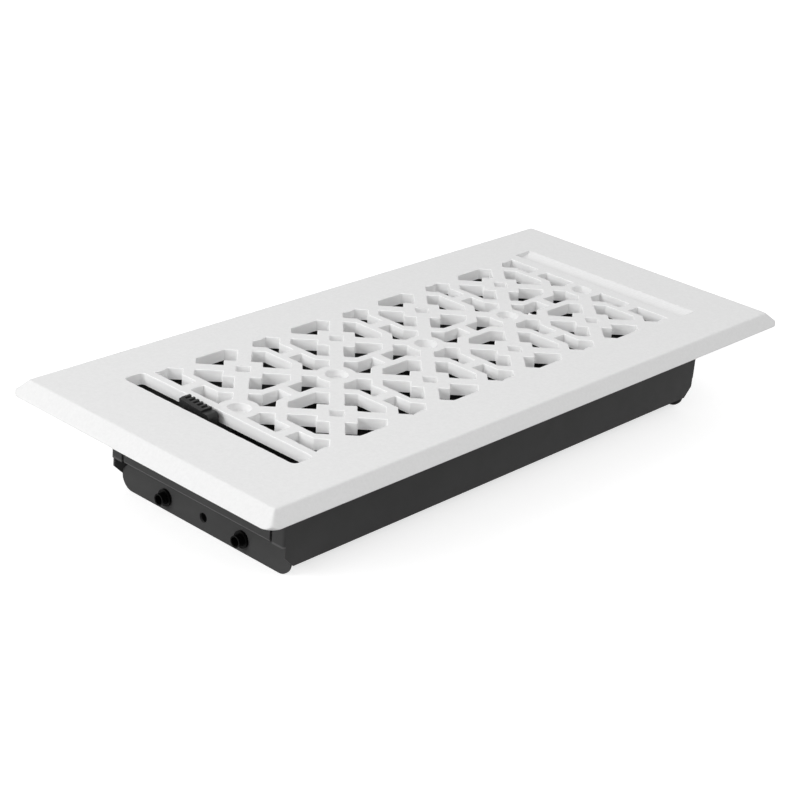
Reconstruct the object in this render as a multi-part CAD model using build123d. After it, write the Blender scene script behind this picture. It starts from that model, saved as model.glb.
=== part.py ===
"""Floor register: a cast lattice face plate over a folded steel damper box with two linked louvres.

Millimetres. The origin is the middle of the duct neck at floor level, where the plate's rim rests.
+X runs along the plate away from the thumb tab, +Y across it, and +Z up into the room.
"""
import os
from math import cos, radians, sin, sqrt

from build123d import *

# Face plate: the usual cover for a 4 by 10 inch duct opening, set a little off its box towards the thumb tab
FACE_LENGTH = 294.0
FACE_WIDTH = 136.0
FACE_THICKNESS = 5.5
FACE_SHIFT = -2.2
END_BEVEL = 5.6
SIDE_BEVEL = 4.2
RIM_CORNER_RADIUS = 5.0
TOP_CORNER_RADIUS = 1.5
POCKET_DEPTH = 0.9
POCKET_CLEARANCE = 0.3

# Lattice: blocks and rings stand on a square grid and diagonal bars run through both
PITCH = 49.0
COLUMNS = 4
ROWS = 2
BAR_WIDTH = 5.5
BLOCK_REACH = 10.3
PETAL_REACH = 17.9
PETAL_SHOULDER = 24.8
RING_RADIUS = 7.8
ARROW_SHOULDER = 18.1
STEM_WIDTH = 6.6
STEM_REACH = 22.3
SQUARE_RECESS = 5.2
ROUND_RECESS_RADIUS = 4.3
RECESS_DEPTH = 3.0

# Lever slot at one end of the plate and the blind groove that balances it at the other
SLOT_WIDTH = 9.0
SLOT_LENGTH = 88.4
SLOT_CORNER_RADIUS = 1.6
GROOVE_INSET = 35.2
GROOVE_WIDTH = 10.0
GROOVE_DEPTH = 1.8

# Damper box: one strip of sheet steel folded into a ring, with its lower ends stepped inwards
FRAME_LENGTH = 240.0
FRAME_WIDTH = 91.0
SHEET = 0.8
BEND_RADIUS = 1.0
SIDE_DEPTH = 33.4
SIDE_CHAMFER = 4.2
STEP_DEPTH = 25.3
STEP_INSET = 4.7
END_DEPTH = 38.6
END_CORNER_RADIUS = 5.5
END_SIDE_GAP = 0.15
EAR_DROP = 2.0
EAR_CHAMFER = 4.0
SLIT_EDGE = 6.4
SLIT_WIDTH = 1.2
SLIT_HEIGHT = 12.0
PEEP_RADIUS = 1.9

# Lugs folded in from the top of the box, and the screws that hold them to the plate
LUG_NUDGE = 1.45
LUG_WIDTH = 14.0
LUG_REACH = 10.8
LUG_NOTCH_RADIUS = 1.9
SCREW_INSET = 6.3
SCREW_RADIUS = 1.45
PILOT_RADIUS = 1.5
PILOT_DEPTH = 3.4
SCREW_BITE = 3.0
SCREW_HEAD_FLATS = 5.5
SCREW_HEAD_HEIGHT = 2.2

# Louvre pivots
AXIS_OFFSET = 2.05
AXIS_DEPTH = 33.3
PIN_RADIUS = 2.3
PIN_STAND = 3.5
PIN_BORE_RADIUS = 1.8
PIN_BORE_DEPTH = 4.0
RUNNING_CLEARANCE = 0.05
BUSH_RADIUS = 2.75
BUSH_FLANGE_RADIUS = 3.3
BUSH_FLANGE = 0.9
BUSH_STAND = 0.5
BUSH_SEAT_CLEARANCE = 0.05
END_PLAY = 0.2
WEB_WIDTH = 8.0

# Louvre blades: the two meet in the middle of the box when shut
BLADE_SHEET = 0.8
BLADE_MEETING_GAP = 0.8
BLADE_WALL_GAP = 0.6
BEAD_WIDTH = 5.0
BEAD_CREST = 2.2
BEAD_HEIGHT = 1.4
BEAD_EDGE = 5.1
LIP_RISE = 1.6

# Moulded end caps that clip the blades to the pivots
CAP_LENGTH = 14.0
CAP_WIDTH = 18.0
CAP_THICKNESS = 5.0
CAP_CORNER = 3.0
SOCKET_WALL = 3.0
BARB_LENGTH = 4.6
BARB_WIDTH = 3.6
BARB_SETBACK = 5.6
BARB_CLEARANCE = 0.2
BARB_RELIEF = 0.1

# Crank on each lever-end cap
CRANK_RADIUS = 14.0
CRANK_ANGLE = 45.0
CRANK_THICKNESS = 2.5
CRANK_ROOT_RADIUS = 4.5
CRANK_BOSS_RADIUS = 4.0
CRANK_PIN_RADIUS = 2.0
CRANK_PIN_OVERHANG = 1.0

# Control bar that joins the cranks, and the thumb tab pressed on its tang
BAR_THICKNESS = 1.2
BAR_HEIGHT = 7.0
BAR_PLATE_GAP = 2.3
BAR_CRANK_GAP = 0.3
OPEN_PIVOT_CLEARANCE = 0.15
TANG_WIDTH = 8.0
TANG_BITE = 6.4
TAB_WIDTH = 5.0
TAB_DEPTH = 7.0
TAB_FRONT = 6.3
TAB_CREST = 2.0
TAB_FALL = 0.85
TAB_SHELF = 1.6
TAB_SHELF_DROP = 0.35
TAB_NOSE_LENGTH = 3.9
TAB_NOSE_RADIUS = 1.6
RIDGES = 6
RIDGE_PITCH = 2.1
RIDGE_WIDTH = 1.1
RIDGE_CREST = 0.75
RIDGE_HEIGHT = 0.75

# Levels and faces that follow from the sizes above
LATTICE_UNDERSIDE = POCKET_DEPTH
PATTERN_HALF_LENGTH = COLUMNS * PITCH / 2
PATTERN_HALF_WIDTH = ROWS * PITCH / 2
END_PLATE_FACE = FRAME_LENGTH / 2 - STEP_INSET
END_PLATE_BACK = END_PLATE_FACE - SHEET
BAR_START = BAR_PLATE_GAP
CRANK_START = BAR_START + BAR_THICKNESS + BAR_CRANK_GAP
CAP_START = CRANK_START + CRANK_THICKNESS
BLADE_START = CAP_START + SOCKET_WALL
CAP_END = CAP_START + CAP_LENGTH
BARB_PLACE = CAP_END - BARB_SETBACK
BLADE_END = END_PLATE_BACK - BLADE_START
AXIS_SPACING = FRAME_WIDTH / 2 - SHEET - 2 * AXIS_OFFSET
BLADE_INNER = (AXIS_SPACING - BLADE_MEETING_GAP) / 2
BLADE_OUTER = FRAME_WIDTH / 2 - SHEET - BLADE_WALL_GAP - AXIS_SPACING / 2
CRANK_SHIFT = CRANK_RADIUS * sin(radians(CRANK_ANGLE))
CRANK_RISE = CRANK_RADIUS * cos(radians(CRANK_ANGLE))
SLOT_PLACE = BAR_START + BAR_THICKNESS / 2 - END_PLATE_BACK
GROOVE_PLACE = FACE_SHIFT + FACE_LENGTH / 2 - GROOVE_INSET
LUG_SPACING = 2.5 * PITCH - 2 * LUG_NUDGE
RIDGED_LENGTH = (RIDGES - 1) * RIDGE_PITCH + RIDGE_WIDTH
SIDES = {"left": 1, "right": -1}


def mirrored(points):
    """Close a half outline with its own mirror image across the first axis."""
    return points + [(x, -y) for x, y in reversed(points)]


def turned_disc(radius, start, end):
    """Cylinder along X between two stations."""
    disc = Plane.YZ * Circle(radius)
    return Pos(start, 0, 0) * extrude(disc, end - start)


def petal():
    """Opening beside a lattice block, drawn towards +X, with the block's corner notched into it."""
    bar = BAR_WIDTH / sqrt(2)
    root = ((BLOCK_REACH + bar) / 2, (BLOCK_REACH - bar) / 2)
    shoulder = ((PETAL_SHOULDER + bar) / 2, (PETAL_SHOULDER - bar) / 2)
    tip = (PETAL_REACH, PETAL_SHOULDER - PETAL_REACH)
    lower = [(x, -y) for x, y in (tip, shoulder, root)]
    return make_face(Polyline((BLOCK_REACH, 0), root, shoulder, tip, *lower, close=True))


def arrow():
    """Opening beside a lattice ring, drawn towards +X: a flared head that hugs the ring, then a stem."""
    bar = BAR_WIDTH / sqrt(2)
    root_x = (bar + sqrt(2 * RING_RADIUS**2 - bar**2)) / 2
    root = (root_x, root_x - bar)
    flare = ((ARROW_SHOULDER + bar) / 2, (ARROW_SHOULDER - bar) / 2)
    neck = (ARROW_SHOULDER - STEM_WIDTH / 2, STEM_WIDTH / 2)
    end = (STEM_REACH, STEM_WIDTH / 2)
    outline = mirrored([root, flare, neck, end])
    hug = ThreePointArc(outline[-1], (RING_RADIUS, 0), outline[0])
    return make_face([*Polyline(*outline).edges(), hug])


def block_centres():
    """Centres of the square blocks, one to each lattice cell."""
    return GridLocations(PITCH, PITCH, COLUMNS, ROWS)


def ring_centres():
    """Centres of the rings, at the corners of the lattice cells."""
    return GridLocations(PITCH, PITCH, COLUMNS + 1, ROWS + 1)


def arrow_fits(place, turn):
    """Whether an arrow turned from a ring stays within the pattern, halved ones at its ends included."""
    tip_x = place.position.X + STEM_REACH * cos(radians(turn))
    tip_y = place.position.Y + STEM_REACH * sin(radians(turn))
    slack = BAR_WIDTH / 2
    return abs(tip_x) < PATTERN_HALF_LENGTH + slack and abs(tip_y) < PATTERN_HALF_WIDTH - slack


def pattern_window():
    """Rectangle that trims the rings and arrows at the two ends of the pattern."""
    return Rectangle(2 * PATTERN_HALF_LENGTH + STEM_WIDTH, 2 * PATTERN_HALF_WIDTH)


def lattice_openings():
    """Every opening of the lattice in plan."""
    turns = (0, 90, 180, 270)
    faces = [place * Rot(0, 0, turn) * petal() for place in block_centres() for turn in turns]
    for place in ring_centres():
        at_end = abs(place.position.X) > PATTERN_HALF_LENGTH - PITCH / 2
        for turn in turns:
            if arrow_fits(place, turn):
                face = place * Rot(0, 0, turn) * arrow()
                faces.append(face & pattern_window() if at_end else face)
    return faces


def lattice_recesses():
    """Blind squares on the blocks and blind rounds on the inner rings, in plan."""
    faces = [place * Rot(0, 0, 45) * Rectangle(SQUARE_RECESS, SQUARE_RECESS) for place in block_centres()]
    for place in ring_centres():
        if abs(place.position.Y) < PATTERN_HALF_WIDTH - PITCH / 2:
            faces.append((place * Circle(ROUND_RECESS_RADIUS)) & pattern_window())
    return faces


def groove():
    """Round-bottomed groove across the plate at the end away from the slot."""
    radius = (GROOVE_WIDTH**2 / 4 + GROOVE_DEPTH**2) / (2 * GROOVE_DEPTH)
    rod = Rot(90, 0, 0) * Cylinder(radius, SLOT_LENGTH)
    return Pos(GROOVE_PLACE, 0, FACE_THICKNESS + radius - GROOVE_DEPTH) * rod


def lug_places():
    """Middle of each lug's screw, at the underside of the lattice."""
    across = FRAME_WIDTH - 2 * SCREW_INSET
    return Pos(FACE_SHIFT, 0, LATTICE_UNDERSIDE) * GridLocations(LUG_SPACING, across, 2, 2)


def face_plate():
    """Cast plate with a bevelled rim, the lattice, the lever slot and a pocket that seats the box."""
    rim = RectangleRounded(FACE_LENGTH, FACE_WIDTH, RIM_CORNER_RADIUS)
    top = RectangleRounded(FACE_LENGTH - 2 * END_BEVEL, FACE_WIDTH - 2 * SIDE_BEVEL, TOP_CORNER_RADIUS)
    plate = loft([rim, Pos(0, 0, FACE_THICKNESS) * top])
    plate -= [extrude(face, FACE_THICKNESS) for face in lattice_openings()]
    recess_floor = Pos(0, 0, FACE_THICKNESS - RECESS_DEPTH)
    plate -= [recess_floor * extrude(face, RECESS_DEPTH) for face in lattice_recesses()]
    plate = Pos(FACE_SHIFT, 0, 0) * plate
    pocket = Rectangle(FRAME_LENGTH + 2 * POCKET_CLEARANCE, FRAME_WIDTH + 2 * POCKET_CLEARANCE)
    plate -= extrude(pocket, POCKET_DEPTH)
    slot = RectangleRounded(SLOT_WIDTH, SLOT_LENGTH, SLOT_CORNER_RADIUS)
    plate -= Pos(SLOT_PLACE, 0, 0) * extrude(slot, FACE_THICKNESS)
    plate -= groove()
    plate -= [place * extrude(Circle(PILOT_RADIUS), PILOT_DEPTH) for place in lug_places()]
    return plate


def box_ring():
    """Folded ring of the damper box, trimmed to its side view."""
    outer = RectangleRounded(FRAME_LENGTH, FRAME_WIDTH, BEND_RADIUS)
    inner = Rectangle(FRAME_LENGTH - 2 * SHEET, FRAME_WIDTH - 2 * SHEET)
    ring = Pos(0, 0, -SIDE_DEPTH) * extrude(outer - inner, SIDE_DEPTH + LATTICE_UNDERSIDE)
    half = FRAME_LENGTH / 2
    wall_end = half - BEND_RADIUS
    right = [
        (half, LATTICE_UNDERSIDE),
        (half, -STEP_DEPTH),
        (wall_end, -STEP_DEPTH),
        (wall_end, SIDE_CHAMFER - SIDE_DEPTH),
        (wall_end - SIDE_CHAMFER, -SIDE_DEPTH),
    ]
    left = [(-x, z) for x, z in reversed(right)]
    side_view = Plane.XZ * make_face(Polyline(*right, *left, close=True))
    return ring & extrude(side_view, FRAME_WIDTH, both=True)


def end_step():
    """Stepped fold below the +X end wall, drawn as a strip between the two relief slits."""
    half = FRAME_LENGTH / 2
    start = 2 * BEND_RADIUS - STEP_DEPTH
    shelf = SHEET - STEP_DEPTH
    strip_end = -STEP_DEPTH - EAR_DROP - BEND_RADIUS
    section = make_face(
        Polyline(
            (half, start),
            (half, -STEP_DEPTH),
            (END_PLATE_FACE, -STEP_DEPTH),
            (END_PLATE_FACE, strip_end),
            (END_PLATE_BACK, strip_end),
            (END_PLATE_BACK, shelf),
            (half - SHEET, shelf),
            (half - SHEET, start),
            close=True,
        )
    )
    for x, z in ((half, -STEP_DEPTH), (END_PLATE_BACK, shelf)):
        section = fillet(section.vertices().sort_by_distance((x, z, 0))[0], BEND_RADIUS)
    return extrude(Plane.XZ * section, FRAME_WIDTH / 2 - SLIT_EDGE - SLIT_WIDTH / 2, both=True)


def end_plate():
    """Lower end plate that carries the louvre pivots between the side walls, with an ear on each side."""
    width = FRAME_WIDTH - 2 * (SHEET + END_SIDE_GAP)
    top = -STEP_DEPTH - EAR_DROP
    outline = Pos(0, (top - END_DEPTH) / 2) * Rectangle(width, top + END_DEPTH)
    outline = fillet(outline.vertices().group_by(Axis.Y)[0], END_CORNER_RADIUS)
    outline = chamfer(outline.vertices().group_by(Axis.Y)[-1], EAR_CHAMFER)
    for side in SIDES.values():
        outline -= Pos(side * AXIS_SPACING / 2, -AXIS_DEPTH) * Circle(BUSH_RADIUS + BUSH_SEAT_CLEARANCE)
    outline -= Pos(0, -AXIS_DEPTH) * Circle(PEEP_RADIUS)
    return Pos(END_PLATE_BACK, 0, 0) * extrude(Plane.YZ * outline, SHEET)


def lug():
    """Lug folded in from the top of a side wall, drawn from its screw notch towards +Y."""
    strip = Pos(0, SCREW_INSET - LUG_REACH / 2) * Rectangle(LUG_WIDTH, LUG_REACH)
    strip -= Circle(LUG_NOTCH_RADIUS)
    strip -= Pos(0, -LUG_REACH / 2) * Rectangle(2 * LUG_NOTCH_RADIUS, LUG_REACH)
    return Pos(0, 0, -SHEET) * extrude(strip, SHEET)


def damper_box():
    """Whole folded box: ring, stepped ends and lugs."""
    box = box_ring()
    half = FRAME_LENGTH / 2
    strip = FRAME_WIDTH - 2 * SLIT_EDGE - SLIT_WIDTH
    for end in (0, 180):
        turn = Rot(0, 0, end)
        clear = Pos(half, 0, -STEP_DEPTH) * Box(4 * SHEET, strip, 4 * BEND_RADIUS)
        box -= turn * clear
        for side in SIDES.values():
            slit = Pos(half, side * (FRAME_WIDTH / 2 - SLIT_EDGE), SLIT_HEIGHT / 2 - STEP_DEPTH)
            box -= turn * slit * Box(4 * SHEET, SLIT_WIDTH, SLIT_HEIGHT)
        box += turn * end_step()
        box += turn * end_plate()
    for place in lug_places():
        turn = Rot(0, 0, 0 if place.position.Y > 0 else 180)
        box += place * turn * lug()
    return box


def frame_screws():
    """Hexagon-head screws driven up through the lugs into the plate."""
    head = extrude(RegularPolygon(SCREW_HEAD_FLATS / 2, 6, major_radius=False), -SCREW_HEAD_HEIGHT)
    shank = extrude(Circle(SCREW_RADIUS), SHEET + SCREW_BITE)
    screw = Pos(0, 0, -SHEET) * (head + shank)
    return Compound(children=[place * screw for place in lug_places()])


def pivot(side, far_end):
    """Place of a louvre pivot: x is 0 on the end plate's inner face and runs into the box."""
    shift = side * AXIS_SPACING / 2
    if far_end:
        return Pos(END_PLATE_BACK, shift, -AXIS_DEPTH) * Rot(0, 0, 180)
    return Pos(-END_PLATE_BACK, shift, -AXIS_DEPTH)


def bush():
    """Snap-in pivot bush with its flange on the outside of the end plate."""
    outside = -SHEET
    body = turned_disc(BUSH_RADIUS, outside, BUSH_STAND)
    body += turned_disc(BUSH_FLANGE_RADIUS, outside - BUSH_FLANGE, outside)
    return body - turned_disc(PIN_RADIUS + RUNNING_CLEARANCE, outside - BUSH_FLANGE, BUSH_STAND)


def cap_grip():
    """Two cheeks that hold the blade's end, with a barb between them that snaps into its window."""
    outline = Pos((CAP_START + CAP_END) / 2, 0) * Rectangle(CAP_LENGTH, CAP_WIDTH)
    outline = chamfer(outline.vertices().group_by(Axis.X)[-1], CAP_CORNER)
    grip = extrude(outline, CAP_THICKNESS / 2, both=True)
    grip -= Pos(BLADE_START + CAP_LENGTH / 2, 0, 0) * Box(CAP_LENGTH, 2 * CAP_WIDTH, BLADE_SHEET)
    barb = Box(BARB_LENGTH, BARB_WIDTH, BLADE_SHEET - BARB_RELIEF)
    return grip + Pos(BARB_PLACE, 0, BARB_RELIEF / 2) * barb


def trunnion():
    """Hollow pivot pin of an end cap, and the web it stands on."""
    tip = -SHEET - PIN_STAND
    shoulder = BUSH_STAND + END_PLAY
    pin = turned_disc(PIN_RADIUS, tip, shoulder)
    pin -= turned_disc(PIN_BORE_RADIUS, tip, tip + PIN_BORE_DEPTH)
    web = Pos((shoulder + CAP_START) / 2, 0, 0) * Box(CAP_START - shoulder, WEB_WIDTH, CAP_THICKNESS)
    return pin + web


def crank():
    """Tapered arm from the pivot to the crank pin, and the pin that enters the control bar."""
    arm_end = Pos(CRANK_SHIFT, CRANK_RISE)
    circles = [Circle(CRANK_ROOT_RADIUS).edge(), (arm_end * Circle(CRANK_BOSS_RADIUS)).edge()]
    arm = Pos(CRANK_START, 0, 0) * extrude(Plane.YZ * make_hull(circles), CRANK_THICKNESS)
    pin = turned_disc(CRANK_PIN_RADIUS, BAR_START - CRANK_PIN_OVERHANG, CRANK_START)
    return arm + Pos(0, CRANK_SHIFT, CRANK_RISE) * pin


def end_cap(with_crank):
    """One moulded end cap about its pivot."""
    cap = trunnion() + cap_grip()
    return cap + crank() if with_crank else cap


def blade_section():
    """Section of a blade across its pivot: a sheet with two pressed beads and a turned-up lip each side."""
    half = BLADE_SHEET / 2
    line = [(-BLADE_INNER, LIP_RISE), (LIP_RISE - BLADE_INNER, 0)]
    for middle in (BEAD_EDGE - BLADE_INNER, BLADE_OUTER - BEAD_EDGE):
        foot, crest = BEAD_WIDTH / 2, BEAD_CREST / 2
        line += [(middle - foot, 0), (middle - crest, BEAD_HEIGHT)]
        line += [(middle + crest, BEAD_HEIGHT), (middle + foot, 0)]
    line += [(BLADE_OUTER - LIP_RISE, 0), (BLADE_OUTER, LIP_RISE)]
    under = [(y, z - half) for y, z in line]
    over = [(y, z + half) for y, z in reversed(line)]
    return make_face(Polyline(*under, *over, close=True))


def louvre_blade(side):
    """Pressed steel blade about its own pivot, wide side towards the box wall."""
    blade = extrude(Plane.YZ * blade_section(), BLADE_END, both=True)
    for end in (-1, 1):
        window = Box(BARB_LENGTH + 2 * BARB_CLEARANCE, BARB_WIDTH + 2 * BARB_CLEARANCE, 2 * BLADE_SHEET)
        blade -= Pos(end * (END_PLATE_BACK - BARB_PLACE), 0, 0) * window
    return Pos(0, side * AXIS_SPACING / 2, -AXIS_DEPTH) * Rot(0, 0, 0 if side > 0 else 180) * blade


def control_place():
    """Middle of the control bar between the two crank pins, on the bar's outer face."""
    return Pos(BAR_START - END_PLATE_BACK, CRANK_SHIFT, CRANK_RISE - AXIS_DEPTH)


def tab_seat():
    """Height of the plate's top face above the control bar's middle while the louvres are shut."""
    return FACE_THICKNESS + AXIS_DEPTH - CRANK_RISE


def control_bar():
    """Flat steel bar with a hole for each crank pin and a tang that rises into the slot."""
    tang_top = tab_seat() - TAB_DEPTH + TANG_BITE
    outline = SlotCenterToCenter(AXIS_SPACING, BAR_HEIGHT)
    outline += Pos(0, tang_top / 2) * Rectangle(TANG_WIDTH, tang_top)
    outline -= Pos(AXIS_SPACING / 2, 0) * Circle(CRANK_PIN_RADIUS + RUNNING_CLEARANCE)
    outline -= Pos(-AXIS_SPACING / 2, 0) * Circle(CRANK_PIN_RADIUS + OPEN_PIVOT_CLEARANCE)
    return control_place() * extrude(Plane.YZ * outline, BAR_THICKNESS)


def tab_body():
    """Thumb tab without its grooves: a falling top, shelved along its outer edge, and a lower round nose."""
    back = TAB_FRONT - RIDGED_LENGTH
    end = back - TAB_NOSE_LENGTH
    low = TAB_CREST - TAB_FALL
    nose = low - RIDGE_HEIGHT
    top = [(TAB_FRONT, TAB_CREST), (back, low), (back, nose), (end, nose)]
    outline = make_face(Polyline((TAB_FRONT, -TAB_DEPTH), *top, (end, -TAB_DEPTH), close=True))
    outline = fillet(outline.vertices().sort_by_distance((end, nose, 0))[0], TAB_NOSE_RADIUS)
    body = extrude(Plane.YZ * outline, TAB_WIDTH / 2, both=True)
    outside = body.faces().sort_by(Axis.X)[0]
    return chamfer(outside.edges().sort_by(Axis.Z)[-1], TAB_SHELF_DROP, TAB_SHELF, reference=outside)


def tab_groove():
    """Cutter for the groove between two ridges, its mouth at the origin, open on the tab's inner side."""
    mouth = (RIDGE_PITCH - RIDGE_CREST) / 2
    bed = (RIDGE_PITCH - RIDGE_WIDTH) / 2
    flank = [(mouth, RIDGE_HEIGHT), (mouth, 0), (bed, -RIDGE_HEIGHT)]
    section = make_face(Polyline(*flank, *((-y, z) for y, z in reversed(flank)), close=True))
    return Pos(TAB_SHELF - TAB_WIDTH / 2, 0, 0) * extrude(Plane.YZ * section, TAB_WIDTH)


def thumb_tab():
    """Moulded thumb tab pressed over the bar's tang, its grooves falling with its top."""
    tab = tab_body()
    for groove_number in range(1, RIDGES):
        run = RIDGE_WIDTH / 2 + (groove_number - 0.5) * RIDGE_PITCH
        crest = TAB_CREST - TAB_FALL * run / RIDGED_LENGTH
        tab -= Pos(0, TAB_FRONT - run, crest) * tab_groove()
    tab -= Pos(0, 0, -TAB_DEPTH) * Box(BAR_THICKNESS, TANG_WIDTH, 2 * TANG_BITE)
    return control_place() * Pos(BAR_THICKNESS / 2, 0, tab_seat()) * tab


def build():
    """Every piece of the register by its node name."""
    pieces = {
        "face_plate": face_plate(),
        "damper_box": damper_box(),
        "frame_screws": frame_screws(),
        "control_bar": control_bar(),
        "thumb_tab": thumb_tab(),
    }
    for name, side in SIDES.items():
        pieces[f"louvre_{name}"] = louvre_blade(side)
        for end, far_end in (("lever", False), ("far", True)):
            pieces[f"{end}_bush_{name}"] = pivot(side, far_end) * bush()
            pieces[f"{end}_cap_{name}"] = pivot(side, far_end) * end_cap(not far_end)
    return pieces


os.makedirs("parts", exist_ok=True)
for node, piece in build().items():
    export_step(piece, f"parts/{node}.step")
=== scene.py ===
"""Looks of the floor register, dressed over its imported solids, in metres."""
import math

import bmesh
import bpy
import numpy as np
from mathutils import Matrix, Vector
from mathutils.geometry import tessellate_polygon


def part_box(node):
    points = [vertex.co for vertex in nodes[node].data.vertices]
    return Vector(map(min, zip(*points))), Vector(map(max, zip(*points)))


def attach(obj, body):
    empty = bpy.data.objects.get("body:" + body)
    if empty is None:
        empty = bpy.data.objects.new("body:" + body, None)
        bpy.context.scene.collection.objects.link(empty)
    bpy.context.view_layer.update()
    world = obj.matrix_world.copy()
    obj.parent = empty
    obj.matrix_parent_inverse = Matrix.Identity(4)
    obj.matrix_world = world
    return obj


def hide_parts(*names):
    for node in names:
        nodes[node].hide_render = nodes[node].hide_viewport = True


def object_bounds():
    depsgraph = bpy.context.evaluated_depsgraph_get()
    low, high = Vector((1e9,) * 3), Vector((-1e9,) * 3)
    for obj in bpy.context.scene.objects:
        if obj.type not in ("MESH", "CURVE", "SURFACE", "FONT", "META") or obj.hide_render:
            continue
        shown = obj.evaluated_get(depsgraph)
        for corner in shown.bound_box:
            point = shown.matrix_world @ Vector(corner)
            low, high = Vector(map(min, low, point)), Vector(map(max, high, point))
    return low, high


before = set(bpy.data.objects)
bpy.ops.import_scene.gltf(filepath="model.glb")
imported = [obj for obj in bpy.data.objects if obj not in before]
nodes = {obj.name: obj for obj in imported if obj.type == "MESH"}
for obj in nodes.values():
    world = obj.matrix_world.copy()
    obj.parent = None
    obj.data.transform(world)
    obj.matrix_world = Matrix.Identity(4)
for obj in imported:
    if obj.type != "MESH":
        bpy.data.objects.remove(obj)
cad_low, cad_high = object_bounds()


# The studio
# A wide pale floor under the register's two end plates and soft daylight all round, with a large softbox
# beyond the thumb-tab end, the side that the register is seen lit from, and a weaker one over its long side.
MM = 0.001
FLOOR_HALF = 6.0
FLOOR_COLOUR = (0.55, 0.55, 0.55, 1.0)
FLOOR_LIFT = 0.70
# Painted shadow: the floor's near-black colour under the damper box.
FLOOR_PAINTED_SHADOW = (0.02, 0.02, 0.02, 1.0)
PAINTED_SHADOW_HALF = (114.5 * MM, 33.0 * MM)
PAINTED_SHADOW_EDGE = 0.97
SKY_STRENGTH = 0.70
HORIZON_STRENGTH = 0.25
HORIZON_TOP = 0.10
SKY_BASE = 0.55
KEY_PLACE = (-1.22, 0.33, 0.62)
KEY_SIZE = 0.7
KEY_POWER = 9.9
SIDE_PLACE = (0.1, -0.90, 1.07)
SIDE_SIZE = 0.8
SIDE_POWER = 3.4
floor_level = cad_low.z


def link(piece):
    """Put a new object in the scene and hand it back."""
    bpy.context.scene.collection.objects.link(piece)
    return piece


def new_material(name):
    """Node material with its shader, ready for links: (material, nodes, links, shader)."""
    material = bpy.data.materials.new(name)
    material.use_nodes = True
    tree = material.node_tree
    return material, tree.nodes, tree.links, tree.nodes["Principled BSDF"]


def spread(tree_nodes, links, value, low, high, start=0.3, end=0.7):
    """Map a value's stretch between start and end to the range from low to high."""
    ramp = tree_nodes.new("ShaderNodeMapRange")
    ramp.inputs["From Min"].default_value = start
    ramp.inputs["From Max"].default_value = end
    ramp.inputs["To Min"].default_value = low
    ramp.inputs["To Max"].default_value = high
    links.new(value, ramp.inputs["Value"])
    return ramp.outputs["Result"]


def tint(tree_nodes, links, value, first, second):
    """Colour between two, by a value from 0 to 1."""
    mix = tree_nodes.new("ShaderNodeMix")
    mix.data_type = "RGBA"
    mix.inputs["A"].default_value = first
    mix.inputs["B"].default_value = second
    links.new(value, mix.inputs["Factor"])
    return mix.outputs["Result"]


def join_values(tree_nodes, links, operation, first, second):
    """Socket that joins two number sockets by an operation."""
    node = tree_nodes.new("ShaderNodeMath")
    node.operation = operation
    links.new(first, node.inputs[0])
    links.new(second, node.inputs[1])
    return node.outputs[0]


def background_rays(tree_nodes, links):
    """Socket that is 1 for the rays that show the background: seen directly, in a gloss or through glass."""
    path = tree_nodes.new("ShaderNodeLightPath").outputs
    mirrored = join_values(tree_nodes, links, "MAXIMUM", path["Is Glossy Ray"], path["Is Transmission Ray"])
    return join_values(tree_nodes, links, "MAXIMUM", path["Is Camera Ray"], mirrored)


def studio_floor():
    """Flat square at the register's feet: matt and pale, lifted to white for the eye but not for the light.

    The lift stops short of the damper box's footprint, where the larger of x / half length and
    y / half width falls below 1, and there the floor is painted near black as a painted shadow, so that the
    box reads dark through its gaps.
    """
    corners = np.array([(-1, -1, 0), (1, -1, 0), (1, 1, 0), (-1, 1, 0)], float) * FLOOR_HALF
    corners[:, 2] = floor_level
    mesh = bpy.data.meshes.new("studio_floor")
    mesh.from_pydata(corners.tolist(), [], [(0, 1, 2, 3)])
    material, tree_nodes, links, shader = new_material("studio_floor")
    shader.inputs["Roughness"].default_value = 1.0
    shader.inputs["Specular IOR Level"].default_value = 0.0
    shader.inputs["Emission Color"].default_value = (1.0, 1.0, 1.0, 1.0)
    reach = tree_nodes.new("ShaderNodeVectorMath")
    reach.operation = "DIVIDE"
    reach.inputs[1].default_value = (*PAINTED_SHADOW_HALF, 1.0)
    links.new(tree_nodes.new("ShaderNodeTexCoord").outputs["Object"], reach.inputs[0])
    size = tree_nodes.new("ShaderNodeVectorMath")
    size.operation = "ABSOLUTE"
    links.new(reach.outputs[0], size.inputs[0])
    parts = tree_nodes.new("ShaderNodeSeparateXYZ")
    links.new(size.outputs[0], parts.inputs[0])
    clear = join_values(tree_nodes, links, "MAXIMUM", parts.outputs["X"], parts.outputs["Y"])
    past_painted_shadow = spread(tree_nodes, links, clear, 0.0, 1.0, PAINTED_SHADOW_EDGE, 1.0)
    links.new(tint(tree_nodes, links, past_painted_shadow, FLOOR_PAINTED_SHADOW, FLOOR_COLOUR), shader.inputs["Base Color"])
    lift = spread(tree_nodes, links, clear, 0.0, FLOOR_LIFT, PAINTED_SHADOW_EDGE, 1.0)
    seen = join_values(tree_nodes, links, "MULTIPLY", background_rays(tree_nodes, links), lift)
    links.new(seen, shader.inputs["Emission Strength"])
    mesh.materials.append(material)
    floor = link(bpy.data.objects.new("studio_floor", mesh))


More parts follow.
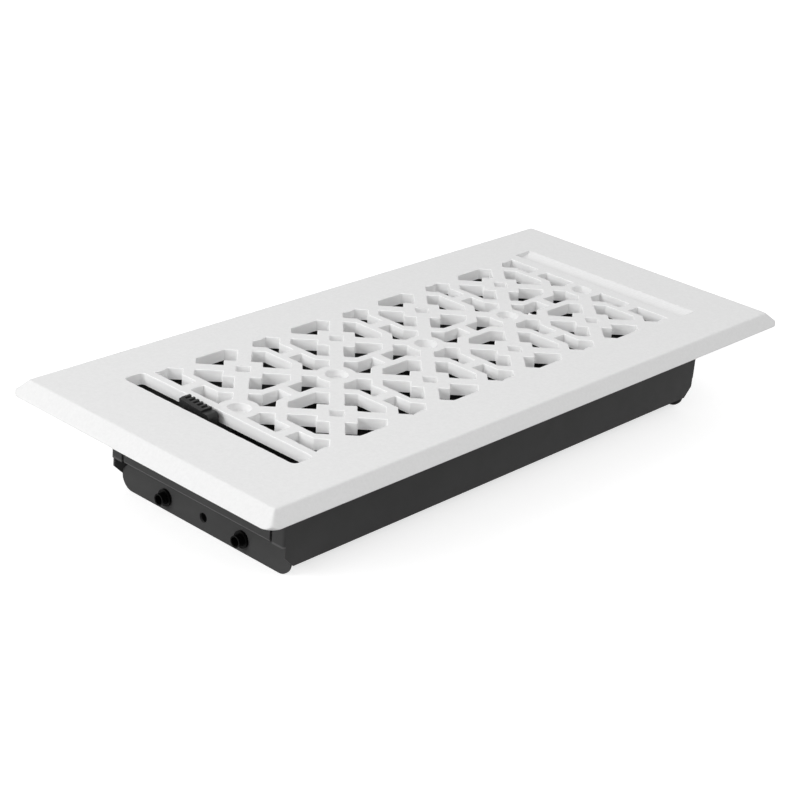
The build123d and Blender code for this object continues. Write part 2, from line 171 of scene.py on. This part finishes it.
def studio_sky():
    """White light, dim near the horizon and even from a good third of the way up, seen as plain white."""
    world = bpy.data.worlds.new("studio_sky")
    bpy.context.scene.world = world
    world.use_nodes = True
    tree = world.node_tree
    background = tree.nodes["Background"]
    background.inputs["Color"].default_value = (1.0, 1.0, 1.0, 1.0)
    height = tree.nodes.new("ShaderNodeSeparateXYZ")
    tree.links.new(tree.nodes.new("ShaderNodeTexCoord").outputs["Object"], height.inputs[0])
    levels = (HORIZON_STRENGTH, SKY_STRENGTH, HORIZON_TOP, SKY_BASE)
    glow = spread(tree.nodes, tree.links, height.outputs["Z"], *levels)
    strength = tree.nodes.new("ShaderNodeMapRange")
    tree.links.new(glow, strength.inputs["To Min"])
    strength.inputs["To Max"].default_value = 1.0
    tree.links.new(background_rays(tree.nodes, tree.links), strength.inputs["Value"])
    tree.links.new(strength.outputs["Result"], background.inputs["Strength"])


def softbox(name, place, size, power):
    """Square area lamp at a place, turned to face the middle of the neck."""
    lamp = bpy.data.lights.new(name, "AREA")
    lamp.size = size
    lamp.energy = power
    piece = link(bpy.data.objects.new(name, lamp))
    piece.location = place
    piece.rotation_euler = (-Vector(place)).to_track_quat("-Z", "Y").to_euler()


studio_floor()
studio_sky()
softbox("key_softbox", KEY_PLACE, KEY_SIZE, KEY_POWER)
softbox("side_softbox", SIDE_PLACE, SIDE_SIZE, SIDE_POWER)


# The camera
# It stands low beyond the near corner, on the thumb-tab end, and is rolled a few degrees. Its angles,
# distance and aim were solved from the plate's edges and lattice.
CAMERA_AZIMUTH = -48.867
CAMERA_ELEVATION = 24.067
CAMERA_ROLL = 4.7575
CAMERA_LENS = 88.66
SENSOR_WIDTH = 36.0
CAMERA_DISTANCE = 0.76245
CAMERA_RIGHT = 0.010006
CAMERA_UP = 0.021918
face_low, face_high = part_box("face_plate")
face_top = face_high.z
face_middle = (face_low.x + face_high.x) / 2


def place_camera():
    """Camera whose axes are worked out from the azimuth, elevation and roll about the plate's middle."""
    azimuth, elevation = math.radians(CAMERA_AZIMUTH), math.radians(CAMERA_ELEVATION)
    back = Vector((
        math.sin(azimuth) * math.cos(elevation),
        -math.cos(azimuth) * math.cos(elevation),
        math.sin(elevation),
    ))
    level = Vector((math.cos(azimuth), math.sin(azimuth), 0.0))
    roll = Matrix.Rotation(math.radians(CAMERA_ROLL), 3, back)
    right = roll @ level
    up = back.cross(right)
    data = bpy.data.cameras.new("camera")
    data.lens = CAMERA_LENS
    data.sensor_width = SENSOR_WIDTH
    camera = link(bpy.data.objects.new("camera", data))
    turn = Matrix((right, up, back)).transposed().to_4x4()
    middle = Vector((face_middle, 0.0, face_top))
    spot = middle + back * CAMERA_DISTANCE - right * CAMERA_RIGHT - up * CAMERA_UP
    camera.matrix_world = Matrix.Translation(spot) @ turn
    bpy.context.scene.camera = camera


place_camera()
bpy.context.scene.view_settings.view_transform = "Standard"


# The face plate
# One casting under a white powder coat, whose rim lies on the floor round the duct. Its openings were cast
# with round corners and a soft upper edge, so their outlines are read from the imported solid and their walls
# are drawn afresh from them, and so is the rim with its rolled edges.
COAT_COLOUR = (0.79, 0.79, 0.79, 1.0)
COAT_SHADE = (0.755, 0.755, 0.755, 1.0)
# Painted light: the walls of the openings get a paler coat in place of the light they catch, in full in the
# through openings and at a share in the blind recesses, fading out over the soft top edge.
COAT_PAINTED_LIGHT = (0.95, 0.95, 0.95, 1.0)
COAT_SHINE = 0.2
COAT_GLOSS = (0.50, 0.60)
COAT_BUMP = 0.5
BLIND_PAINTED_LIGHT = 0.4
FLECK_GRAIN = 1.2 * MM
CLOUD_GRAIN = 6.0 * MM
PEEL_GRAIN = 1.6 * MM
PEEL_DEPTH = 0.08 * MM
FINE_GRAIN = 0.45 * MM
FINE_DEPTH = 0.03 * MM
MERGE_GAP = 0.001 * MM
FLAT_FACING = 0.9
UPRIGHT_FACING = 0.05
UNDER_FACING = -0.5
CORNER_ROUND = 0.5 * MM
CORNER_SHARE = 0.45
CORNER_STEPS = 7
CORNER_TURN = math.radians(20.0)
EDGE_ROUND = 0.35 * MM
EDGE_STEPS = 5
TIP_SHARE = 0.8
TIP_STEPS = CORNER_STEPS // 2
WALL_STEP = 1.5 * MM
WALL_WAVE = 0.05 * MM
RIM_CORNER = 5.0 * MM
TOP_CORNER = 1.5 * MM
RIM_ROUND = 0.7 * MM
RIM_FOOT = 0.6 * MM
RIM_STEPS = 13
RIM_SHARE = 0.8
MITRE_CRISPNESS = 4.0


def noise(tree_nodes, links, place, grain, detail=3.0, roughness=0.55):
    """Noise over a position socket, with lumps about grain metres across."""
    texture = tree_nodes.new("ShaderNodeTexNoise")
    texture.inputs["Scale"].default_value = 1.0 / grain
    texture.inputs["Detail"].default_value = detail
    texture.inputs["Roughness"].default_value = roughness
    links.new(place, texture.inputs["Vector"])
    return texture.outputs["Fac"]


def bump(tree_nodes, links, height, strength, distance, under=None):
    """Bump of a height socket, stacked on another bump's normal if one is given."""
    node = tree_nodes.new("ShaderNodeBump")
    node.inputs["Strength"].default_value = strength
    node.inputs["Distance"].default_value = distance
    links.new(height, node.inputs["Height"])
    if under is not None:
        links.new(under, node.inputs["Normal"])
    return node.outputs["Normal"]


def powder_coat():
    """White powder coat: a faint fleck, painted light that makes the openings' walls paler, a satin gloss and
    two sizes of peel.
    """
    material, tree_nodes, links, shader = new_material("white_powder_coat")
    place = tree_nodes.new("ShaderNodeTexCoord").outputs["Object"]
    fleck = spread(tree_nodes, links, noise(tree_nodes, links, place, FLECK_GRAIN), 0.0, 1.0)
    # Painted light: a corner attribute that turns the opening walls to the paler coat.
    painted_wall_light = tree_nodes.new("ShaderNodeAttribute")
    painted_wall_light.attribute_name = "painted_wall_light"
    coat = tree_nodes.new("ShaderNodeMix")
    coat.data_type = "RGBA"
    coat.inputs["B"].default_value = COAT_PAINTED_LIGHT
    links.new(tint(tree_nodes, links, fleck, COAT_SHADE, COAT_COLOUR), coat.inputs["A"])
    links.new(painted_wall_light.outputs["Fac"], coat.inputs["Factor"])
    links.new(coat.outputs["Result"], shader.inputs["Base Color"])
    shader.inputs["Specular IOR Level"].default_value = COAT_SHINE
    gloss = spread(tree_nodes, links, noise(tree_nodes, links, place, CLOUD_GRAIN), *COAT_GLOSS)
    links.new(gloss, shader.inputs["Roughness"])
    peel = bump(tree_nodes, links, noise(tree_nodes, links, place, PEEL_GRAIN), COAT_BUMP, PEEL_DEPTH)
    fine = noise(tree_nodes, links, place, FINE_GRAIN)
    grain = bump(tree_nodes, links, fine, COAT_BUMP, FINE_DEPTH, peel)
    links.new(grain, shader.inputs["Normal"])
    return material


def merged_copy(node):
    """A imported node's loose triangles joined into one closed form, in a mesh of its own."""
    form = bmesh.new()
    form.from_mesh(nodes[node].data)
    bmesh.ops.remove_doubles(form, verts=form.verts, dist=MERGE_GAP)
    form.normal_update()
    return form


def flat_rings(form, level, facing):
    """Flat faces at one level that face up (1) or down (-1), and the rings of corners round them."""
    flat = {
        face for face in form.faces
        if face.normal.z * facing > FLAT_FACING
        and max(abs(vert.co.z - level) for vert in face.verts) < MERGE_GAP
    }
    corners = [corner for face in form.faces if face in flat for corner in face.loops]
    onward = {
        corner.vert: corner.link_loop_next.vert for corner in corners
        if corner.link_loop_radial_next.face not in flat
    }
    rings = []
    while onward:
        first, vert = onward.popitem()
        rings.append([first])
        while vert is not first:
            rings[-1].append(vert)
            vert = onward.pop(vert)
    return flat, rings


def unit(rows):
    """Rows of vectors scaled to length one."""
    return rows / np.linalg.norm(rows, axis=1, keepdims=True)


def round_corners(ring):
    """Ring with its corners rounded in plan, and a foot for each point on the ring's own sharp line.

    A corner is the parabola (1 - t)^2 start + 2 t (1 - t) corner + t^2 end, from a reach before it to the
    same reach after it. Its feet run in to the corner along one side and out along the other.
    """
    before = ring - np.roll(ring, 1, axis=0)
    after = np.roll(before, -1, axis=0)
    sides = np.minimum(np.linalg.norm(before, axis=1), np.linalg.norm(after, axis=1))
    turn = np.arccos(np.clip((unit(before) * unit(after)).sum(axis=1), -1.0, 1.0))
    sharp = turn > CORNER_TURN
    reach = np.where(sharp, np.minimum(CORNER_ROUND * np.tan(turn / 2), CORNER_SHARE * sides), 0.0)[:, None]
    start = (ring - unit(before) * reach)[:, None]
    end = (ring + unit(after) * reach)[:, None]
    middle = ring[:, None]
    t = np.linspace(0.0, 1.0, CORNER_STEPS)[None, :, None]
    curve = (1 - t) ** 2 * start + 2 * t * (1 - t) * middle + t**2 * end
    feet = np.where(t < 0.5, start + (middle - start) * 2 * t, middle + (end - middle) * (2 * t - 1))
    kept = sharp[:, None] | (np.arange(CORNER_STEPS) == 0)[None, :]
    return curve[kept], feet[kept]


def divide(ring, feet):
    """Ring and its feet with points added on the long sides, no further apart than the wall step."""
    side = np.roll(ring, -1, axis=0) - ring
    foot_side = np.roll(feet, -1, axis=0) - feet
    counts = np.maximum(np.ceil(np.linalg.norm(side, axis=1) / WALL_STEP), 1).astype(int)
    row = np.repeat(np.arange(len(ring)), counts)
    share = ((np.arange(len(row)) - (np.cumsum(counts) - counts)[row]) / counts[row])[:, None]
    return ring[row] + side[row] * share, feet[row] + foot_side[row] * share


def strip(rings, looks):
    """Quads between neighbouring closed rings, lowest first.

    A patch is its points, its faces, and a normal and a share of painted wall light for each face's corners.
    """
    layers, count = rings.shape[:2]
    index = np.arange(layers * count).reshape(layers, count)
    onward = np.roll(index, -1, axis=1)
    faces = np.stack([index[:-1], onward[:-1], onward[1:], index[1:]], axis=2).reshape(-1, 4)
    return rings.reshape(-1, 3), faces, looks.reshape(-1, 4)[faces.ravel()]


def tip_radius(line):
    """Radius of a ring's bend at each point: side length / turn where it turns left, about the metal.

    Elsewhere the radius comes out very large.
    """
    after = np.roll(line, -1, axis=0) - line
    before = np.roll(after, 1, axis=0)
    turn = np.arctan2(before[:, 0] * after[:, 1] - before[:, 1] * after[:, 0], (before * after).sum(axis=1))
    reach = (np.linalg.norm(before, axis=1) + np.linalg.norm(after, axis=1)) / 2
    return reach / np.maximum(turn, MERGE_GAP)


def casting_wave(line):
    """Slight unevenness of a cast wall along a line, with x and y in millimetres.

    It is the wave's height times sin(0.9 x + 0.5 y + sin(0.7 y)) + sin(1.3 y - 0.8 x).
    """
    x, y = line.T / MM
    return WALL_WAVE * (np.sin(0.9 * x + 0.5 * y + np.sin(0.7 * y)) + np.sin(1.3 * y - 0.8 * x))


def opening_wall(ring, floor, painted_wall_light):
    """Wall of an opening from its floor to the soft edge at the plate's top: (strip, foot ring, top ring).

    The ring has the metal on its left. The wall stands on the ring's sharp line and leans out to the rounded
    one, which a slight casting wave runs along. Its edge is a quarter circle: at an angle t it lies
    r (1 - cos t) into the metal and r (1 - sin t) below the top. On a tight tip of metal it is narrower
    than it is deep, so that it can't fold over itself.
    """
    line, feet = divide(*round_corners(ring[:, :2]))
    along = unit(np.roll(line, -1, axis=0) - np.roll(line, 1, axis=0))
    inward = np.stack([-along[:, 1], along[:, 0]], axis=1)
    line = line + inward * casting_wave(line)[:, None]
    width = np.minimum(TIP_SHARE * tip_radius(line), EDGE_ROUND)
    width = np.min([np.roll(width, step) for step in range(-TIP_STEPS, TIP_STEPS + 1)], axis=0)[:, None]
    t = np.linspace(0.0, math.pi / 2, EDGE_STEPS)[:, None, None]
    edge = np.empty((EDGE_STEPS, len(line), 3))
    edge[:, :, :2] = line + inward * width * (1 - np.cos(t))
    edge[:, :, 2:] = face_top - EDGE_ROUND * (1 - np.sin(t))
    foot = np.column_stack([feet, np.full(len(feet), floor)])
    rings = np.concatenate([foot[None], edge])
    slope = np.concatenate([np.zeros((1, 1, 1)), t])
    looks = np.empty((*rings.shape[:2], 4))
    looks[:, :, :2] = -inward * np.cos(slope)
    looks[:, :, 2:3] = np.sin(slope)
    # The fourth look is painted light on the wall: its share of the paler coat, fading out over the soft
    # edge.
    looks[:, :, 3:] = np.cos(slope) * painted_wall_light
    return strip(rings, looks), foot, edge[-1]


def rim_outline(low, high, corner):
    """Rectangle with quarter circles for corners: points by corner and step, and their normals."""
    turn = np.radians(np.linspace(0.0, 90.0, RIM_STEPS) + np.array([[0.0], [90.0], [180.0], [270.0]]))
    out = np.stack([np.cos(turn), np.sin(turn), np.zeros(turn.shape)], axis=2)
    signs = np.array([(1, 1, 1), (-1, 1, 1), (-1, -1, 1), (1, -1, 1)])
    spots = (np.add(low, high) + signs * np.subtract(high, low)) / 2 - signs * (corner, corner, 0.0)
    return spots[:, None] + out * corner, out


def rim_bevel(top_ring):
    """Sloping rim from the floor to the plate's top: (strip, foot ring, top ring).

    The slope runs straight between the rim's outline and the top's, and goes over each on a parabola that
    starts and ends a reach away. The two slopes that meet at a corner are lit as flats up to its mitre. The
    rounded outline cuts them off there, at the height of the lower slope, so the rim stands upright below.
    """
    rim, out = rim_outline((*face_low[:2], face_low.z), (*face_high[:2], face_low.z), RIM_CORNER)
    top, _ = rim_outline(top_ring.min(axis=0), top_ring.max(axis=0), TOP_CORNER)
    up = np.array([0.0, 0.0, 1.0])
    inset = np.minimum(rim - np.array(face_low), np.array(face_high) - rim)[:, :, :2]
    run = top_ring.min(axis=0)[:2] - np.array(face_low[:2])
    nose = (inset / run).min(axis=2, keepdims=True) * (face_top - face_low.z)
    brow = rim + up * nose
    fall = (brow - top) / np.linalg.norm(brow - top, axis=2, keepdims=True)
    sloping = up * np.linalg.norm(fall[:, :, :2], axis=2, keepdims=True) - out * fall[:, :, 2:]
    share = (np.linspace(0.0, 1.0, RIM_STEPS) - 0.5) * MITRE_CRISPNESS + 0.5
    mitre = np.clip(share, 0.0, 1.0)[None, :, None]
    sloping = sloping[:, :1] * (1 - mitre) + sloping[:, -1:] * mitre
    t = np.linspace(0.0, 1.0, EDGE_STEPS)[:, None, None, None]
    bulge = rim + up * nose / 2
    first, middle, last = (1 - t) ** 2, 2 * t * (1 - t), t**2
    lower = first * (rim - out * RIM_FOOT) + middle * bulge + last * (brow - fall * RIM_FOOT)
    upper = first * (top + fall * RIM_ROUND) + middle * top + last * (top - out * RIM_ROUND)
    rings = np.concatenate([lower, upper]).reshape(2 * EDGE_STEPS, -1, 3)
    looks = np.zeros((*rings.shape[:2], 4))
    upright = out * middle * nose / (nose + RIM_FOOT)
    normals = np.concatenate([sloping * t - up * (1 - t) + upright, sloping * (1 - t) + up * t])
    looks[:, :, :3] = (normals / np.linalg.norm(normals, axis=3, keepdims=True)).reshape(rings.shape)
    return strip(rings, looks), rings[0], rings[-1]


def flat_fill(borders, facing):
    """Triangles of a flat from its outer border in to its holes, facing up (1) or down (-1)."""
    points = np.concatenate(borders)
    faces = np.array(tessellate_polygon([[Vector(point) for point in border] for border in borders]))
    first, second, third = points[faces.T]
    spans = np.cross(second - first, third - first)[:, 2] * facing
    if spans.sum() < 0:
        faces = faces[:, ::-1]
    return points, faces, np.tile((0.0, 0.0, float(facing), 0.0), (faces.size, 1))


def packed_faces(form, drawn):
    """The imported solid's own faces that aren't drawn afresh, each lit as a flat."""
    kept = [face for face in form.faces if face not in drawn]
    points = np.array([vert.co for face in kept for vert in face.verts])
    looks = np.repeat([(*face.normal, 0.0) for face in kept], 3, axis=0)
    return points, np.arange(len(points)).reshape(-1, 3), looks


def slope_below(ring, flat):
    """Faces of the slope that falls from a ring round a flat, down to where the form turns under."""
    slope, reached = set(), {face for vert in ring for face in vert.link_faces} - flat
    while reached:
        slope |= reached
        near = {face for known in reached for edge in known.edges for face in edge.link_faces}
        reached = {face for face in near - slope - flat if face.normal.z > UNDER_FACING}
    return slope


def cast_plate():
    """Patches of the whole casting: soft openings, sloping rim, flat top and back, the rest as packed."""
    form = merged_copy("face_plate")
    drawn, rings = flat_rings(form, face_top, 1)
    patches, top, openings, corners = [], [], [], set()
    for ring in rings:
        falling = {face for vert in ring for face in vert.link_faces} - drawn
        line = np.array([vert.co for vert in ring])
        if np.ptp(line[:, 0]) > RIM_SHARE * (face_high.x - face_low.x):
            patch, seat, border = rim_bevel(line)
            patches.append(patch)
            top.append(border)
            drawn |= slope_below(ring, drawn)
        elif all(abs(face.normal.z) < UPRIGHT_FACING for face in falling):
            openings.append((line, min(vert.co.z for face in falling for vert in face.verts)))
            corners |= {vert for face in falling for vert in face.verts}
            drawn |= falling
        else:
            top.append(line)
    rested, rings = flat_rings(form, face_low.z, -1)
    drawn |= rested
    lines = [np.array([vert.co for vert in ring]) for ring in rings]
    pocket = min(lines, key=lambda line: np.ptp(line[:, 0]))
    patches.append(flat_fill([seat, pocket], -1))
    through = min(floor for _, floor in openings)
    back, rings = flat_rings(form, through, -1)
    drawn |= back
    under = [np.array([vert.co for vert in ring]) for ring in rings if ring[0] not in corners]
    for line, floor in openings:
        blind = floor > through + MERGE_GAP
        patch, foot, border = opening_wall(line, floor, BLIND_PAINTED_LIGHT if blind else 1.0)
        patches.append(patch)
        top.append(border)
        if blind:
            drawn |= flat_rings(form, floor, 1)[0]
            patches.append(flat_fill([foot], 1))
        else:
            under.append(foot)
    patches += [flat_fill(top, 1), flat_fill(under, -1), packed_faces(form, drawn)]
    form.free()
    return patches


def join_patches(name, patches):
    """One mesh of many patches, their common points joined and each corner's normal and painted wall light
    share kept.

    A quad with two corners joined becomes a triangle, and one with more joined goes.
    """
    points = np.concatenate([patch[0] for patch in patches])
    keys = np.round(points / MERGE_GAP).astype(int)
    _, first, index = np.unique(keys, axis=0, return_index=True, return_inverse=True)
    starts = np.cumsum([0] + [len(patch[0]) for patch in patches])
    faces, looks = [], []
    for start, (_, corners, patch_looks) in zip(starts, patches):
        named = index.ravel()[corners + start]
        fresh = named != np.roll(named, 1, axis=1)
        fresh[fresh.sum(axis=1) < 3] = False
        faces += [row[kept].tolist() for row, kept in zip(named, fresh) if kept.any()]
        looks.append(patch_looks.reshape(*named.shape, 4)[fresh])
    mesh = bpy.data.meshes.new(name)
    mesh.from_pydata(points[first].tolist(), [], faces)
    mesh.shade_smooth()
    looks = np.concatenate(looks)
    mesh.normals_split_custom_set(looks[:, :3].tolist())
    mesh.attributes.new("painted_wall_light", "FLOAT", "CORNER").data.foreach_set("value", looks[:, 3])
    return link(bpy.data.objects.new(name, mesh))


plate = join_patches("cast_plate", cast_plate())
plate.data.materials.append(powder_coat())
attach(plate, "base")
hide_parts("face_plate")


# The damper box
# Sheet steel folded into a ring, with stepped ends, under a satin dark grey paint with a paler line painted
# along the fold above each lower end plate as a painted highlight of the bend. Four lugs at its top are
# screwed to the plate's back.
BOX_COLOUR = (0.066, 0.066, 0.066, 1.0)
BOX_SHADE = (0.059, 0.059, 0.059, 1.0)
# Painted highlight: a paler line along each fold, in place of the bend catching the light.
FOLD_HIGHLIGHT_COLOUR = (0.11, 0.11, 0.11, 1.0)
FOLD_LEVEL = -24.9 * MM
FOLD_HALF = 0.6 * MM
FOLD_CORE = 0.4 * FOLD_HALF
FOLD_END = 118.9 * MM
FOLD_EDGE = 0.1 * MM
BOX_GLOSS = (0.38, 0.48)
PAINT_SHINE = 0.06
PAINT_CLOUD = 14.0 * MM
PAINT_GRAIN = 5.0 * MM
PAINT_PEEL = 0.7 * MM
PAINT_BUMP = 0.35
PAINT_DEPTH = 0.03 * MM


def dress(node, material):
    """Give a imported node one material."""
    mesh = nodes[node].data
    mesh.materials.clear()
    mesh.materials.append(material)


def off_centre(tree_nodes, links, value, centre):
    """Socket with how far a number socket is from a centre."""
    node = tree_nodes.new("ShaderNodeMath")
    node.operation = "SUBTRACT"
    node.inputs[1].default_value = centre
    links.new(value, node.inputs[0])
    size = tree_nodes.new("ShaderNodeMath")
    size.operation = "ABSOLUTE"
    links.new(node.outputs[0], size.inputs[0])
    return size.outputs[0]


def painted_fold_highlight(tree_nodes, links, place):
    """Mask of the painted highlight: 1 along the fold at the foot of each end strip, where |x| is past the
    end and z near the fold's level.
    """
    parts = tree_nodes.new("ShaderNodeSeparateXYZ")
    links.new(place, parts.inputs[0])
    along = off_centre(tree_nodes, links, parts.outputs["X"], 0.0)
    height = off_centre(tree_nodes, links, parts.outputs["Z"], FOLD_LEVEL)
    at_end = spread(tree_nodes, links, along, 0.0, 1.0, FOLD_END, FOLD_END + FOLD_EDGE)
    at_fold = spread(tree_nodes, links, height, 1.0, 0.0, FOLD_CORE, FOLD_HALF)
    return join_values(tree_nodes, links, "MULTIPLY", at_end, at_fold)


def dark_paint(name, colour, shade, gloss_range, fold_highlight=False):
    """Sprayed paint on sheet steel: faint cloudy colour, a painted highlight along a fold if asked for, satin
    gloss and a fine peel.
    """
    material, tree_nodes, links, shader = new_material(name)
    place = tree_nodes.new("ShaderNodeTexCoord").outputs["Object"]
    cloud = spread(tree_nodes, links, noise(tree_nodes, links, place, PAINT_CLOUD), 0.0, 1.0)
    paint = tint(tree_nodes, links, cloud, shade, colour)
    # Painted highlight along the fold.
    if fold_highlight:
        highlight_mix = tree_nodes.new("ShaderNodeMix")
        highlight_mix.data_type = "RGBA"
        highlight_mix.inputs["B"].default_value = FOLD_HIGHLIGHT_COLOUR
        links.new(paint, highlight_mix.inputs["A"])
        links.new(painted_fold_highlight(tree_nodes, links, place), highlight_mix.inputs["Factor"])
        paint = highlight_mix.outputs["Result"]
    links.new(paint, shader.inputs["Base Color"])
    shader.inputs["Specular IOR Level"].default_value = PAINT_SHINE
    gloss = spread(tree_nodes, links, noise(tree_nodes, links, place, PAINT_GRAIN), *gloss_range)
    links.new(gloss, shader.inputs["Roughness"])
    peel = bump(tree_nodes, links, noise(tree_nodes, links, place, PAINT_PEEL), PAINT_BUMP, PAINT_DEPTH)
    links.new(peel, shader.inputs["Normal"])
    return material


dress("damper_box", dark_paint("box_paint", BOX_COLOUR, BOX_SHADE, BOX_GLOSS, fold_highlight=True))


# The louvres and the control bar
# Pressed sheet steel, painted matt black so that they don't show through the lattice. Each blade is held
# at both ends by a cap that snaps on, and the bar hangs on the crank pins of the two caps below the slot.
LOUVRE_COLOUR = (0.010, 0.010, 0.010, 1.0)
LOUVRE_SHADE = (0.007, 0.007, 0.007, 1.0)
LOUVRE_GLOSS = (0.55, 0.65)
louvre_paint = dark_paint("louvre_paint", LOUVRE_COLOUR, LOUVRE_SHADE, LOUVRE_GLOSS)
for steel in ("louvre_left", "louvre_right", "control_bar"):
    dress(steel, louvre_paint)


# The pivot bushes and end caps
# Moulded black plastic with a fine spark-eroded grain. The bushes snap into the end plates, and the caps on
# the blades carry the pivot pins that run in them.
PIVOT_COLOUR = (0.003, 0.003, 0.003, 1.0)
PIVOT_SHINE = 0.06
DEEPER_SHARE = 0.8
PLASTIC_CLOUD = 3.0 * MM
PLASTIC_GLOSS = (0.36, 0.5)
PLASTIC_PATCH = 2.0 * MM
PLASTIC_GRAIN = 0.25 * MM
PLASTIC_BUMP = 0.4
PLASTIC_DEPTH = 0.02 * MM


def black_plastic(name, colour, shine):
    """Moulded plastic: a faint cloud in its colour, uneven semi-matt gloss and a fine grain."""
    material, tree_nodes, links, shader = new_material(name)
    place = tree_nodes.new("ShaderNodeTexCoord").outputs["Object"]
    cloud = spread(tree_nodes, links, noise(tree_nodes, links, place, PLASTIC_CLOUD), 0.0, 1.0)
    deeper = (*(DEEPER_SHARE * level for level in colour[:3]), 1.0)
    links.new(tint(tree_nodes, links, cloud, deeper, colour), shader.inputs["Base Color"])
    shader.inputs["Specular IOR Level"].default_value = shine
    gloss = spread(tree_nodes, links, noise(tree_nodes, links, place, PLASTIC_PATCH), *PLASTIC_GLOSS)
    links.new(gloss, shader.inputs["Roughness"])
    fine = noise(tree_nodes, links, place, PLASTIC_GRAIN)
    grain = bump(tree_nodes, links, fine, PLASTIC_BUMP, PLASTIC_DEPTH)
    links.new(grain, shader.inputs["Normal"])
    return material


pivot_plastic = black_plastic("pivot_plastic", PIVOT_COLOUR, PIVOT_SHINE)
for end in ("lever", "far"):
    for side in ("left", "right"):
        dress(f"{end}_bush_{side}", pivot_plastic)
        dress(f"{end}_cap_{side}", pivot_plastic)


# The thumb tab
# Moulded black plastic, grooved for the thumb and a little paler and shinier than the pivots. It is pressed
# on the control bar's tang, which comes up through the slot.
TAB_COLOUR = (0.012, 0.012, 0.012, 1.0)
TAB_SHINE = 0.3
dress("thumb_tab", black_plastic("tab_plastic", TAB_COLOUR, TAB_SHINE))


# The screws
# Four short zinc plated ones with hexagon heads, which hold the box's lugs to the plate. Their shanks run in
# blind holes in its back.
ZINC_COLOUR = (0.55, 0.56, 0.57, 1.0)
ZINC_SHADE = (0.47, 0.48, 0.50, 1.0)
ZINC_CLOUD = 2.0 * MM
ZINC_GLOSS = (0.25, 0.4)
ZINC_PATCH = 1.0 * MM


def zinc_plate():
    """Bright zinc: metal with a cloudy colour and roughness."""
    material, tree_nodes, links, shader = new_material("zinc_plate")
    shader.inputs["Metallic"].default_value = 1.0
    place = tree_nodes.new("ShaderNodeTexCoord").outputs["Object"]
    cloud = spread(tree_nodes, links, noise(tree_nodes, links, place, ZINC_CLOUD), 0.0, 1.0)
    links.new(tint(tree_nodes, links, cloud, ZINC_SHADE, ZINC_COLOUR), shader.inputs["Base Color"])
    gloss = spread(tree_nodes, links, noise(tree_nodes, links, place, ZINC_PATCH), *ZINC_GLOSS)
    links.new(gloss, shader.inputs["Roughness"])
    return material


dress("frame_screws", zinc_plate())
